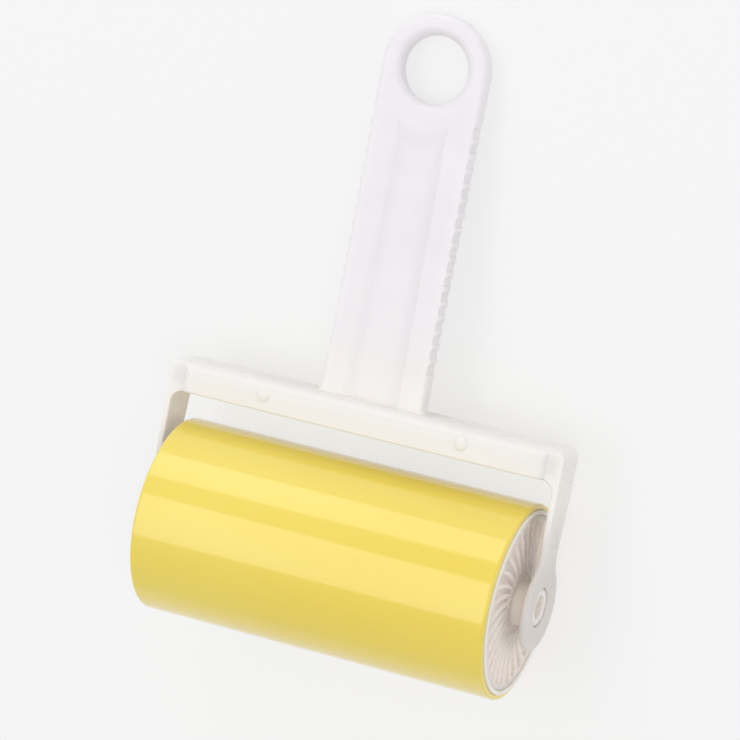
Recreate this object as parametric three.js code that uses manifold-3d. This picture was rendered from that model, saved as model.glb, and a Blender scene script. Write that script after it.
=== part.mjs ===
// Washable lint roller: a paddle handle moulded in one with a two-armed frame, and a drum with a sticky
// gel sleeve that turns between the arms on two stub axles. Millimetres, +Z up. The pieces are made in the
// frame's own directions, X along the drum's axis, +Y up the handle and +Z out of the front, with the origin
// on the axis. The group then lies on a table, on its drum and the tip of its handle, centred on its footprint.
import * as THREE from 'three';
import { mergeVertices } from 'three/addons/utils/BufferGeometryUtils.js';
import Module from 'manifold-3d';

const wasm = await Module();
wasm.setup();

// Clearances and cutter overrun
const SEAT_GAP = 0.3;
const RUN_GAP = 0.3;
const OVERRUN = 2;
const MERGE_DISTANCE = 0.0001;

// Steps of curves
const SMALL_STEPS = 2;
const ROUND_STEPS = 4;
const CORNER_STEPS = 6;
const CHANNEL_STEPS = 10;
const EAR_STEPS = 14;
const TIP_STEPS = 16;
const CATCH_FACETS = 16;
const CATCH_RINGS = 10;
const EYE_FACETS = 32;
const HANG_HOLE_FACETS = 40;

// Drum: sleeve and core
const DRUM_RADIUS = 27;
const DRUM_END_GAP = 4;
const CORE_WALL = 1.3;
const GEL_THICKNESS = 1.2;
const GEL_SETBACK = 0.5;
const GEL_EDGE = 0.8;
const DRUM_FACETS = 96;

// End caps
const CAP_RECESS = 0.4;
const CAP_RIM = 0.9;
const CAP_FACETS = 60;
const POCKET_COUNT = 30;
const POCKET_DEPTH = 1.4;
const POCKET_FLOOR = 1.2;
const POCKET_STEPS = 3;
const VANE_THICKNESS = 1.1;
const VANE_SWEEP = THREE.MathUtils.degToRad(14);
const HUB_RADIUS = 9.2;
const HUB_FLOOR = 1.5;
const WELL_RADIUS = 8.2;
const WELL_DEPTH = 1.6;
const SKIRT_DEPTH = 7;
const SKIRT_WALL = 1.5;

// Stub axles, moulded on the caps
const EYE_RADIUS = 5.4;
const SHOULDER_LIP = 0.9;
const STUB_WALL = 1.7;
const STUB_SETBACK = 0.4;
const STUB_CHAMFER = 0.5;

// Arms and ears
const FRAME_WIDTH = 115.2;
const ARM_THICKNESS = 1.6;
const ARM_NECK_DEPTH = 11.4;
const ARM_EDGE = 0.5;
const EAR_RADIUS = 12;
const NECK_FILLET = 8;
const ARM_PANEL_DEPTH = 0.4;
const ARM_PANEL_RIM = 1.7;
const ARM_PANEL_CORNER = 1;
const RAMP_DEPTH = 0.6;

// Crossbar
const BAR_DRUM_GAP = 7.5;
const BAR_HEIGHT = 8.8;
const BAR_DEPTH = 14.4;
const BAR_WALL = 2;
const BAR_FRONT_ROUND = 4.1;
const BAR_BACK_ROUND = 1;
const BAR_END_INSET = 3.2;
const ARM_FRONT_SETBACK = 1.2;
const RIB_THICKNESS = 1.5;
const CELL_COUNT = 10;
const CELL_CORNER = 0.8;
const OUTER_CORNER = 3.7;
const INNER_CORNER = 3.5;

// Catches for the drum's cover, on the crossbar's front
const CATCH_SPACING = 58;
const CATCH_RADIUS = 2.2;
const CATCH_HEIGHT = 0.5;
const CATCH_SUNK = 0.3;

// Handle
const HANDLE_LENGTH = 105.8;
const HANDLE_WIDTH = 29.8;
const HANDLE_THICKNESS = 6;
const HANDLE_EDGE = 1;
const HANG_HOLE_RADIUS = 9;
const FOOT_FILLET = 2;
const GRIP_START = 14.2;
const GRIP_DEPTH = 0.65;
const GRIP_END_RAMP = 0.6;
const GRIP_END_SPACE = 3;
const GRIP_RIB_COUNT = 16;
const GRIP_RIB_PITCH = 4;
const GRIP_RIB_WIDTH = 1.8;
const CHANNEL_DEPTH = 0.9;
const CHANNEL_TOP_WIDTH = 14.4;
const CHANNEL_FOOT_WIDTH = 16.8;
const CHANNEL_FOOT_FILLET = 1.6;
const CHANNEL_EYE_RING = 6.2;
const CHANNEL_EYE_SLOPE = 1.8;

// Levels along the drum's axis, outwards from its middle
const armOuter = FRAME_WIDTH / 2;
const armInner = armOuter - ARM_THICKNESS;
const coreEnd = armInner - DRUM_END_GAP;
const capFace = coreEnd - CAP_RECESS;
const pocketFloor = capFace - POCKET_DEPTH;
const capBack = pocketFloor - POCKET_FLOOR;
const wellFloor = capFace - WELL_DEPTH;

// Radii that follow from what fits in what
const coreOuterRadius = DRUM_RADIUS - GEL_THICKNESS - SEAT_GAP;
const coreInnerRadius = coreOuterRadius - CORE_WALL;
const capRadius = coreInnerRadius - SEAT_GAP;
const stubRadius = EYE_RADIUS - RUN_GAP;

// Levels up the handle, from the drum's axis
const neckLevel = EAR_RADIUS + NECK_FILLET / 2;
const barLow = DRUM_RADIUS + BAR_DRUM_GAP;
const barTop = barLow + BAR_HEIGHT;
const tip = barTop + HANDLE_LENGTH;
const eyeCentre = tip - HANDLE_WIDTH / 2;

// Seen from the right: away from the viewer, up the handle, and outwards along the axis
const fromTheSide = new THREE.Matrix4().makeBasis(
  new THREE.Vector3(0, 0, -1),
  new THREE.Vector3(0, 1, 0),
  new THREE.Vector3(1, 0, 0),
);

// Seen from the drum: outwards along the axis, away from the viewer, and down the handle
const alongTheHandle = new THREE.Matrix4().makeBasis(
  new THREE.Vector3(1, 0, 0),
  new THREE.Vector3(0, 0, 1),
  new THREE.Vector3(0, -1, 0),
);

function solidOf(geometry) {
  geometry.deleteAttribute('normal');
  geometry.deleteAttribute('uv');
  const merged = mergeVertices(geometry, MERGE_DISTANCE);
  const index = merged.index.array;
  const triangles = [];
  for (let i = 0; i < index.length; i += 3) {
    const [a, b, c] = [index[i], index[i + 1], index[i + 2]];
    if (a !== b && b !== c && c !== a) triangles.push(a, b, c);
  }
  return new wasm.Manifold(new wasm.Mesh({
    numProp: 3,
    vertProperties: new Float32Array(merged.attributes.position.array),
    triVerts: new Uint32Array(triangles),
  }));
}

function meshOf(name, solid, material) {
  const { vertProperties, triVerts } = solid.getMesh();
  const geometry = new THREE.BufferGeometry();
  geometry.setAttribute('position', new THREE.BufferAttribute(new Float32Array(vertProperties), 3));
  geometry.setIndex(new THREE.BufferAttribute(new Uint32Array(triVerts), 1));
  geometry.computeVertexNormals();
  const mesh = new THREE.Mesh(geometry, material);
  mesh.name = name;
  return mesh;
}

// A prism on an outline, from level 0 to its depth, with its end edges rounded inside the outline
function prism(outline, depth, edge = 0) {
  const geometry = new THREE.ExtrudeGeometry(outline, {
    depth: depth - 2 * edge,
    bevelEnabled: edge > 0,
    bevelThickness: edge,
    bevelSize: edge,
    bevelOffset: -edge,
    bevelSegments: SMALL_STEPS,
  });
  geometry.translate(0, 0, edge);
  return geometry;
}

// A closed profile of radius and level, turned round the drum's axis
function turned(profile, facets) {
  const points = profile.map(([radius, level]) => new THREE.Vector2(radius, level));
  return solidOf(new THREE.LatheGeometry(points, facets).rotateZ(-Math.PI / 2));
}

function arc(x, y, radius, from, to, steps) {
  return Array.from({ length: steps + 1 }, (_, i) => {
    const angle = from + ((to - from) * i) / steps;
    return new THREE.Vector2(x + radius * Math.cos(angle), y + radius * Math.sin(angle));
  });
}

// The right-hand half of an outline, closed by the mirror image of its points off the middle line
function mirrored(half) {
  const offMiddle = half.filter((p) => p.x > MERGE_DISTANCE);
  return new THREE.Shape([...half, ...offMiddle.map((p) => new THREE.Vector2(-p.x, p.y)).reverse()]);
}

function roundedRectangle(x, y, width, height, corner) {
  const [left, right, low, high] = [x - width / 2, x + width / 2, y - height / 2, y + height / 2];
  return new THREE.Shape([
    ...arc(right - corner, low + corner, corner, -Math.PI / 2, 0, SMALL_STEPS),
    ...arc(right - corner, high - corner, corner, 0, Math.PI / 2, SMALL_STEPS),
    ...arc(left + corner, high - corner, corner, Math.PI / 2, Math.PI, SMALL_STEPS),
    ...arc(left + corner, low + corner, corner, Math.PI, Math.PI * 1.5, SMALL_STEPS),
  ]);
}

function gelSleeve() {
  const end = coreEnd - GEL_SETBACK;
  const inner = DRUM_RADIUS - GEL_THICKNESS;
  const lip = arc(DRUM_RADIUS - GEL_EDGE, end - GEL_EDGE, GEL_EDGE, 0, Math.PI / 2, ROUND_STEPS);
  const half = [...lip.map((p) => [p.x, p.y]), [inner, end]];
  return turned([...half, ...half.map(([r, level]) => [r, -level]).reverse(), half[0]], DRUM_FACETS);
}

function rollerCore() {
  return turned([
    [coreOuterRadius, -coreEnd],
    [coreOuterRadius, coreEnd],
    [coreInnerRadius, coreEnd],
    [coreInnerRadius, -coreEnd],
    [coreOuterRadius, -coreEnd],
  ], DRUM_FACETS);
}

// One pocket between two swept vanes: narrow at the hub, round as a petal at the rim
function pocketOutline() {
  const rim = capRadius - CAP_RIM;
  const halfWidth = (radius) => (Math.PI * radius) / POCKET_COUNT - VANE_THICKNESS / 2;
  const endRadius = rim - halfWidth(rim);
  const sweep = (radius) => (VANE_SWEEP * (radius - HUB_RADIUS)) / (rim - HUB_RADIUS);
  const flank = (side) => Array.from({ length: POCKET_STEPS + 1 }, (_, i) => {
    const radius = HUB_RADIUS + ((endRadius - HUB_RADIUS) * i) / POCKET_STEPS;
    const angle = sweep(radius) + (side * halfWidth(radius)) / radius;
    return new THREE.Vector2(radius * Math.cos(angle), radius * Math.sin(angle));
  });
  const heading = sweep(endRadius);
  const petal = arc(
    endRadius * Math.cos(heading), endRadius * Math.sin(heading), halfWidth(endRadius),
    heading - Math.PI / 2, heading + Math.PI / 2, CORNER_STEPS,
  );
  return new THREE.Shape([...flank(-1), ...petal.slice(1, -1), ...flank(1).reverse()]);
}

// A cap seen from outside: swept pockets round a hub, a well, and the hollow stub axle with its shoulder
function endCap() {
  const shoulder = armInner - RUN_GAP;
  const stubEnd = armOuter - STUB_SETBACK;
  const shoulderRadius = stubRadius + SHOULDER_LIP;
  const boreRadius = stubRadius - STUB_WALL;
  const skirtInner = capRadius - SKIRT_WALL;
  let cap = turned([
    [0, wellFloor - HUB_FLOOR],
    [HUB_RADIUS, wellFloor - HUB_FLOOR],
    [HUB_RADIUS, capBack],
    [skirtInner, capBack],
    [skirtInner, capBack - SKIRT_DEPTH],
    [capRadius, capBack - SKIRT_DEPTH],
    [capRadius, capFace],
    [WELL_RADIUS, capFace],
    [WELL_RADIUS, wellFloor],
    [shoulderRadius, wellFloor],
    [shoulderRadius, shoulder],
    [stubRadius, shoulder],
    [stubRadius, stubEnd - STUB_CHAMFER],
    [stubRadius - STUB_CHAMFER, stubEnd],
    [boreRadius, stubEnd],
    [boreRadius, wellFloor],
    [0, wellFloor],
  ], CAP_FACETS);
  const pocket = prism(pocketOutline(), POCKET_DEPTH + OVERRUN);
  pocket.translate(0, 0, pocketFloor);
  for (let i = 0; i < POCKET_COUNT; i += 1) {
    const turn = new THREE.Matrix4().makeRotationZ((2 * Math.PI * i) / POCKET_COUNT);
    const cutter = pocket.clone().applyMatrix4(turn).applyMatrix4(fromTheSide);
    cap = cap.subtract(solidOf(cutter));
  }
  return cap;
}

// Arm, ear and crossbar seen from the right, in one outline with the eye as its hole
function sideOutline() {
  const neck = ARM_NECK_DEPTH / 2;
  const reach = EAR_RADIUS + NECK_FILLET;
  const across = neck + NECK_FILLET;
  const fillet = Math.atan2(Math.sqrt(reach ** 2 - across ** 2), across);
  const filletY = reach * Math.sin(fillet);
  const back = BAR_DEPTH / 2;
  const side = (sign) => {
    const mirror = (p) => new THREE.Vector2(sign * p.x, p.y);
    const round = sign > 0 ? BAR_BACK_ROUND : BAR_FRONT_ROUND;
    return [
      ...arc(0, 0, EAR_RADIUS, -Math.PI / 2, fillet, EAR_STEPS),
      ...arc(across, filletY, NECK_FILLET, Math.PI + fillet, Math.PI, ROUND_STEPS).slice(1),
      new THREE.Vector2(back, barLow),
      ...arc(back - round, barTop - round, round, 0, Math.PI / 2, CORNER_STEPS),
    ].map(mirror);
  };
  const outline = new THREE.Shape([...side(1), ...side(-1).slice(1).reverse()]);
  outline.holes.push(new THREE.Path(arc(0, 0, EYE_RADIUS, 0, -2 * Math.PI, EYE_FACETS).slice(0, -1)));
  return outline;
}

// Crossbar and arms seen from the front, open below
function frontOutline() {
  const low = -EAR_RADIUS - OVERRUN;
  return mirrored([
    ...arc(armInner - INNER_CORNER, barLow - INNER_CORNER, INNER_CORNER, Math.PI / 2, 0, ROUND_STEPS),
    new THREE.Vector2(armInner, low),
    new THREE.Vector2(armOuter, low),
    ...arc(armOuter - OUTER_CORNER, barTop - OUTER_CORNER, OUTER_CORNER, 0, Math.PI / 2, CORNER_STEPS),
  ]);
}

// Cutter that sets an arm's front back from the crossbar's, whose front ends there in a full round
function armFront() {
  const high = barTop + OVERRUN;
  const barFront = BAR_DEPTH / 2;
  const front = barFront - ARM_FRONT_SETBACK;
  const centreX = armOuter - BAR_END_INSET - BAR_FRONT_ROUND;
  const centreZ = barFront - BAR_FRONT_ROUND;
  const meeting = Math.asin((front - centreZ) / BAR_FRONT_ROUND);
  const outline = new THREE.Shape([
    ...arc(centreX, centreZ, BAR_FRONT_ROUND, Math.PI / 2, meeting, ROUND_STEPS),
    new THREE.Vector2(armOuter + OVERRUN, front),
    new THREE.Vector2(armOuter + OVERRUN, barFront + OVERRUN),
    new THREE.Vector2(centreX, barFront + OVERRUN),
  ]);
  return prism(outline, high - neckLevel).translate(0, 0, -high).applyMatrix4(alongTheHandle);
}

// The shallow panel between the front and back rims of an arm's outer face
function armPanel() {
  const outline = mirrored([
    new THREE.Vector2(ARM_NECK_DEPTH / 2 - ARM_PANEL_RIM - ARM_PANEL_CORNER, neckLevel),
    new THREE.Vector2(ARM_NECK_DEPTH / 2 - ARM_PANEL_RIM, neckLevel + ARM_PANEL_CORNER),
    new THREE.Vector2(BAR_DEPTH / 2 - ARM_PANEL_RIM, barLow - ARM_PANEL_CORNER),
    new THREE.Vector2(BAR_DEPTH / 2 - ARM_PANEL_RIM - ARM_PANEL_CORNER, barLow),
  ]);
  return prism(outline, OVERRUN).translate(0, 0, armOuter - ARM_PANEL_DEPTH).applyMatrix4(fromTheSide);
}

// The lead-in ramp below the eye, on an ear's inner face, that spreads the arms over the stub axle
function eyeRamp() {
  const outline = new THREE.Shape([
    new THREE.Vector2(armInner - OVERRUN, -EAR_RADIUS - OVERRUN),
    new THREE.Vector2(armInner + RAMP_DEPTH, -EAR_RADIUS - OVERRUN),
    new THREE.Vector2(armInner + RAMP_DEPTH, -EAR_RADIUS),
    new THREE.Vector2(armInner, -EYE_RADIUS),
    new THREE.Vector2(armInner - OVERRUN, -EYE_RADIUS),
  ]);
  return prism(outline, 2 * stubRadius).translate(0, 0, -stubRadius);
}

// The open cells that core out the crossbar from its back, with a rib between each two
function barCells() {
  const span = 2 * armInner;
  const pitch = (span + RIB_THICKNESS) / CELL_COUNT;
  const depth = BAR_DEPTH - BAR_WALL;
  return Array.from({ length: CELL_COUNT }, (_, i) => {
    const x = (i - (CELL_COUNT - 1) / 2) * pitch;
    const y = (barLow + barTop) / 2;
    const cell = roundedRectangle(x, y, pitch - RIB_THICKNESS, BAR_HEIGHT - 2 * BAR_WALL, CELL_CORNER);
    return solidOf(prism(cell, depth + OVERRUN).translate(0, 0, -BAR_DEPTH / 2 - OVERRUN));
  });
}

// Two low domes on the crossbar's front, each a flat ball sunk in it
function catches() {
  const flatness = (CATCH_HEIGHT + CATCH_SUNK) / CATCH_RADIUS;
  const level = BAR_DEPTH / 2 - CATCH_SUNK;
  return [-1, 1].map((side) => {
    const dome = new THREE.SphereGeometry(CATCH_RADIUS, CATCH_FACETS, CATCH_RINGS).scale(1, 1, flatness);
    return solidOf(dome.translate((side * CATCH_SPACING) / 2, barLow + BAR_HEIGHT / 2, level));
  });
}

function handleOutline() {
  const half = HANDLE_WIDTH / 2;
  const outline = mirrored([
    new THREE.Vector2(half + FOOT_FILLET, barLow + BAR_WALL),
    ...arc(half + FOOT_FILLET, barTop + FOOT_FILLET, FOOT_FILLET, -Math.PI / 2, -Math.PI, ROUND_STEPS),
    ...arc(0, eyeCentre, half, 0, Math.PI / 2, TIP_STEPS),
  ]);
  const hole = arc(0, eyeCentre, HANG_HOLE_RADIUS, 0, -2 * Math.PI, HANG_HOLE_FACETS).slice(0, -1);
  outline.holes.push(new THREE.Path(hole));
  return outline;
}

// Cutter for the sunk grip band along an edge of the handle: it leaves the band's row of rounded ribs
function gripBand() {
  const crest = HANDLE_WIDTH / 2;
  const floor = crest - GRIP_DEPTH;
  const first = barTop + GRIP_START;
  const last = first + (GRIP_RIB_COUNT - 1) * GRIP_RIB_PITCH;
  const ribShares = [[-1, 0], [-0.65, 0.7], [0, 1], [0.65, 0.7], [1, 0]];
  const rib = (middle) => ribShares.map(([acrossShare, heightShare]) => (
    new THREE.Vector2(floor + GRIP_DEPTH * heightShare, middle + (GRIP_RIB_WIDTH / 2) * acrossShare)
  ));
  const ribs = Array.from({ length: GRIP_RIB_COUNT }, (_, i) => rib(first + i * GRIP_RIB_PITCH)).flat();
  const outline = new THREE.Shape([
    new THREE.Vector2(crest + OVERRUN, first - GRIP_END_SPACE - GRIP_END_RAMP - OVERRUN),
    new THREE.Vector2(crest + OVERRUN, last + GRIP_END_SPACE + GRIP_END_RAMP + OVERRUN),
    new THREE.Vector2(crest, last + GRIP_END_SPACE + GRIP_END_RAMP),
    new THREE.Vector2(floor, last + GRIP_END_SPACE),
    ...ribs.reverse(),
    new THREE.Vector2(floor, first - GRIP_END_SPACE),
    new THREE.Vector2(crest, first - GRIP_END_SPACE - GRIP_END_RAMP),
  ]);
  return prism(outline, HANDLE_THICKNESS + OVERRUN).translate(0, 0, -(HANDLE_THICKNESS + OVERRUN) / 2);
}

// The long dished channel in the front of the handle, from inside the crossbar to the hanging hole's ring
function channel() {
  const face = HANDLE_THICKNESS / 2;
  const low = barLow + BAR_WALL;
  const half = CHANNEL_FOOT_WIDTH / 2;
  const dish = Array.from({ length: CHANNEL_STEPS + 1 }, (_, i) => {
    const acrossShare = (2 * i) / CHANNEL_STEPS - 1;
    return new THREE.Vector2(half * acrossShare, face - CHANNEL_DEPTH * (1 - acrossShare ** 4));
  });
  const outline = new THREE.Shape([
    ...dish,
    new THREE.Vector2(half, face + OVERRUN),
    new THREE.Vector2(-half, face + OVERRUN),
  ]);
  const trough = prism(outline, eyeCentre - low).translate(0, 0, -eyeCentre).applyMatrix4(alongTheHandle);
  const corners = trough.attributes.position;
  for (let i = 0; i < corners.count; i += 1) {
    const upShare = (corners.getY(i) - low) / (eyeCentre - low);
    const width = THREE.MathUtils.lerp(CHANNEL_FOOT_WIDTH, CHANNEL_TOP_WIDTH, upShare);
    corners.setX(i, (corners.getX(i) * width) / CHANNEL_FOOT_WIDTH);
  }
  const ring = HANG_HOLE_RADIUS + CHANNEL_EYE_RING;
  const ringKeep = new THREE.LatheGeometry([
    new THREE.Vector2(0, -CHANNEL_DEPTH),
    new THREE.Vector2(ring + CHANNEL_EYE_SLOPE, -CHANNEL_DEPTH),
    new THREE.Vector2(ring, 0),
    new THREE.Vector2(ring, OVERRUN),
    new THREE.Vector2(0, OVERRUN),
  ], HANG_HOLE_FACETS).rotateX(Math.PI / 2).translate(0, eyeCentre, face);
  return solidOf(trough).subtract(solidOf(ringKeep));
}

// The hollow fillet between the channel's floor and the crossbar's rounded top, across the handle's flat face
function channelFoot() {
  const toe = HANDLE_THICKNESS / 2 - CHANNEL_DEPTH + CHANNEL_FOOT_FILLET;
  const pastFlat = Math.max(0, toe - (BAR_DEPTH / 2 - BAR_FRONT_ROUND));
  const toeLevel = barTop - BAR_FRONT_ROUND + Math.sqrt(BAR_FRONT_ROUND ** 2 - pastFlat ** 2);
  const width = HANDLE_WIDTH - 2 * HANDLE_EDGE;
  const outline = new THREE.Shape([
    ...arc(-toe, toeLevel + CHANNEL_FOOT_FILLET, CHANNEL_FOOT_FILLET, 0, -Math.PI / 2, ROUND_STEPS),
    new THREE.Vector2(-toe, barTop - BAR_WALL),
    new THREE.Vector2(0, barTop - BAR_WALL),
    new THREE.Vector2(0, toeLevel + CHANNEL_FOOT_FILLET),
  ]);
  return solidOf(prism(outline, width).translate(0, 0, -width / 2).applyMatrix4(fromTheSide));
}

function handle() {
  const plate = prism(handleOutline(), HANDLE_THICKNESS, HANDLE_EDGE).translate(0, 0, -HANDLE_THICKNESS / 2);
  let paddle = solidOf(plate);
  for (const turn of [0, 180]) {
    paddle = paddle.subtract(channel().rotate([0, turn, 0])).add(channelFoot().rotate([0, turn, 0]));
  }
  const grip = solidOf(gripBand());
  return paddle.subtract(grip).subtract(grip.mirror([1, 0, 0]));
}

function armsAndBar() {
  const side = prism(sideOutline(), FRAME_WIDTH, ARM_EDGE).translate(0, 0, -armOuter);
  const front = prism(frontOutline(), 2 * EAR_RADIUS + OVERRUN).translate(0, 0, -EAR_RADIUS - OVERRUN / 2);
  let frame = solidOf(side.applyMatrix4(fromTheSide)).intersect(solidOf(front));
  for (const cutter of [armFront(), armPanel(), eyeRamp()].map(solidOf)) {
    frame = frame.subtract(cutter).subtract(cutter.mirror([1, 0, 0]));
  }
  return frame;
}

function handleFrame() {
  let frame = armsAndBar().add(handle());
  for (const dome of catches()) frame = frame.add(dome);
  for (const cell of barCells()) frame = frame.subtract(cell);
  return frame;
}

const white = new THREE.MeshStandardMaterial({ color: 0xf0eef1, roughness: 0.42, metalness: 0 });
const warmWhite = new THREE.MeshStandardMaterial({ color: 0xe6ddd3, roughness: 0.45, metalness: 0 });
const yellow = new THREE.MeshStandardMaterial({ color: 0xf4df68, roughness: 0.18, metalness: 0 });

const drum = new THREE.Group();
drum.add(meshOf('gel_sleeve', gelSleeve(), yellow));
drum.add(meshOf('roller_core', rollerCore(), warmWhite));
const rightCap = meshOf('end_cap_right', endCap(), warmWhite);
const leftCap = rightCap.clone();
leftCap.name = 'end_cap_left';
leftCap.rotation.y = Math.PI;
drum.add(rightCap, leftCap);

// The tilt at which the drum and the lower edge of the handle's tip both touch the table
const tipReach = tip - HANDLE_EDGE;
const halfThickness = HANDLE_THICKNESS / 2;
const tipAngle = Math.atan2(halfThickness, tipReach);
const tilt = Math.asin(DRUM_RADIUS / Math.hypot(tipReach, halfThickness)) - tipAngle;
const farEnd = Math.max(
  tip * Math.cos(tilt) + (halfThickness - HANDLE_EDGE) * Math.sin(tilt),
  tipReach * Math.cos(tilt) + halfThickness * Math.sin(tilt),
);

const lintRoller = new THREE.Group();
lintRoller.add(meshOf('handle_frame', handleFrame(), white), drum);
lintRoller.rotation.x = -tilt;
lintRoller.position.set(0, (DRUM_RADIUS - farEnd) / 2, DRUM_RADIUS);

export default lintRoller;
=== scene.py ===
"""Washable lint roller: its moulded handle, drum, caps and gel sleeve in fine shapes and finishes.

Shapes are written in millimetres in the handle's own directions: X along the drum's axis, Y up the
handle, Z out of its front, from the middle of the drum. LYING then puts them on the table in metres.
Places of lamps and heights in finishes are in metres in the table's directions.
"""
import math

import bmesh
import bpy
from mathutils import Matrix, Vector


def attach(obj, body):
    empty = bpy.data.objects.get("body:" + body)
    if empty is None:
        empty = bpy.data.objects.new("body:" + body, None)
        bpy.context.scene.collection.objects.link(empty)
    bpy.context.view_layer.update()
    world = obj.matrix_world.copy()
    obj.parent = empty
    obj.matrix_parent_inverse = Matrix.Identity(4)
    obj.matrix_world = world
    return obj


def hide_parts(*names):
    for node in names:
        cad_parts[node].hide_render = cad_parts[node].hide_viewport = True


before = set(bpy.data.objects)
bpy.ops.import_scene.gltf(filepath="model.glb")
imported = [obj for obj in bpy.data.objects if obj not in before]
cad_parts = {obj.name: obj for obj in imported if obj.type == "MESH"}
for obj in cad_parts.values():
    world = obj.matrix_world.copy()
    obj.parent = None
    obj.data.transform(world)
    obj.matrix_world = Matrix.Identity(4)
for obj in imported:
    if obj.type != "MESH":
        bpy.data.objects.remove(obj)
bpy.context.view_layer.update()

# Cutting and joining
OVERRUN = 2.0
CRUMB = 0.01
SEAM_MERGE = 1e-4
SECTOR_MERGE = 2e-3
LEAST_LEAN = 0.35
FLAT_DEGREES = 0.4
CRISP_DEGREES = 32.0
TURNED_STEPS = 240

# Drum
DRUM_RADIUS = 27.0
CORE_RADIUS = 25.5
CORE_WALL = 1.3
CORE_END = 52.0
TUBE_OUTER_EDGE = 0.3
TUBE_INNER_EDGE = 0.2
GEL_END = 51.5
GEL_LIP = 0.8
GEL_BEAD = 0.2
GEL_RING_PLACES = (-30.0, 0.0, 30.0)
SEAM = 0.04

# Caps, with levels measured out along the axis from the drum's middle
CAP_RADIUS = CORE_RADIUS - CORE_WALL - SEAM
CAP_FACE = 51.6
CAP_EDGE = 0.1
CAP_BACK = 49.0
SKIRT_END = 42.0
SKIRT_RADIUS = 22.4
SKIRT_CHAMFER = 0.4

# Petal pockets of a cap's face
POCKETS = 30
POCKET_STEPS = 8
POCKET_DEPTH = 1.0
POCKET_START = 9.8
PETAL_END = 22.95
RIM_START = 23.2
VANE = 1.1
SWEEP_DEGREES = 15.0
HUB_EDGE = 8.8

# A pocket's wall from the face down to its floor, each step an (inset, drop)
POCKET_WALL = [
    (-0.2, 0.0), (-0.15, 0.015), (-0.06, 0.06), (-0.01, 0.15), (0.0, 0.22), (0.06, POCKET_DEPTH - 0.3),
    (0.12, POCKET_DEPTH - 0.06), (0.25, POCKET_DEPTH),
]

# Hub, stub axle and its bore
HUB_BEAD = 0.02
HUB_BEAD_WIDTH = 0.2
WELL_RADIUS = 8.2
WELL_EDGE = 0.15
WELL_FILLET = 0.2
WELL_FLOOR = 51.2
SHOULDER_RADIUS = 6.0
SHOULDER_FILLET = 0.6
SHOULDER_EDGE = 0.2
SHOULDER = 55.7
STUB_RADIUS = 5.1
STUB_FOOT = 0.1
STUB_EDGE = 0.5
STUB_END = 57.2
STUB_BORE = 3.4
BORE_EDGE = 0.35
BORE_FLOOR = 50.0
BORE_FILLET = 0.5
BORE_FILLET_RISE = 0.8
BORE_CROWN = 0.3
BORE_WALL = 1.5
HUB_BACK_RADIUS = 9.4

# Arms
ARM_OUTER = 57.6
ARM_INNER = 56.0
ARM_EDGE = 0.7
ARM_NECK = 5.7
NECK_FILLET = 8.0
ARM_HEAD = 6.0
ARM_HEAD_FROM = 18.0
ARM_TAPER_TOP = 30.2
EAR_RADIUS = 12.0
EYE_RADIUS = 5.4
EYE_EASE_INSIDE = 0.4
EYE_EASE_OUTSIDE = 0.35
RAMP_DEPTH = 0.6
PANEL_DEPTH = 0.4
PANEL_RIM = 1.7
PANEL_CORNER = 1.0
PANEL_CORNER_BULGE = 0.3
PANEL_LOW = 16.0

# Crossbar and the opening below it
FRAME_CORNER = 3.8
OPENING_CORNER = 3.5
OPENING_EASE = 0.5
OPENING_SHARP_DEGREES = 50.0
BAR_LOW = 34.5
BAR_TOP = 43.3
BAR_HALF_DEPTH = 7.2
BAR_SWELL = 4.1
BAR_BACK_ROUND = 1.2
BAR_END = 54.4
CELLS = 10
CELL_RIB = 1.5
CELL_WALL = 2.0
CELL_CORNER = 0.8
CELL_DRAFT = 0.15

# Catches for the drum's cover
CATCH_PLACES = ((-29.0, 38.9), (29.0, 38.9))
CATCH_RADIUS = 2.2
CATCH_HEIGHT = 0.5
CATCH_SUNK = 0.3

# Handle
TIP = 149.1
HANDLE_HALF_WIDTH = 14.9
HANDLE_HALF_THICKNESS = 3.0
HANDLE_EDGE = 1.3
HANDLE_FOOT_FLARE = 2.0
HANDLE_SUNK = 0.15
FOOT_FILLET = 1.6
FOOT_FILLET_SUNK = 0.12
HOLE_RADIUS = 9.2
HOLE_FLARE = 2.6
HOLE_CENTRE = TIP - HANDLE_HALF_WIDTH
CHANNEL_DEPTH = 0.9
CHANNEL_FOOT = 8.4
CHANNEL_HEAD = 7.2
CHANNEL_RING = 6.0
CHANNEL_FADE = 8.0
CHANNEL_START = 38.5

# Grip bands along the handle's edges
GRIP_LOW = 53.7
GRIP_HIGH = 121.3
GRIP_DEPTH = 0.65
GRIP_CORNER = 0.5
GRIP_CORNER_RISE = 0.4
RIBS = 16
FIRST_RIB = 57.5
RIB_PITCH = 4.0
RIB_HALF_WIDTH = 1.0
RIB_HEIGHT = 0.66
RIB_FULLNESS = 0.75
RIB_POINTS = 10

# How the roller lies: turned about the drum's axis until drum and tip touch the table
TILT = math.radians(9.341659)
LYING = (
    Matrix.Translation((0.0, -0.06022364, 0.027))
    @ Matrix.Rotation(-TILT, 4, "X")
    @ Matrix.Scale(0.001, 4)
)

# Share of its own shine that the table adds where it is looked at
TABLE_GLOW = 0.75
TABLE_HALF_SIZE = 6.0

# The photograph's camera, in the handle's directions and the photograph's pixels
PHOTO_PIXELS = 740.0
PHOTO_MIDDLE = (371.16, 397.52)
FOCAL_PIXELS = 3700.76
SENSOR_WIDTH = 36.0
CAMERA_PLACE = Vector((336.05, 180.77, 930.73))
CAMERA_RIGHT = Vector((0.91473417, 0.18647091, -0.35845502))
CAMERA_UP = Vector((-0.22267029, 0.97291322, -0.06211130))
CAMERA_LOOK = Vector((-0.33716368, -0.13663261, -0.93147849))

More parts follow.
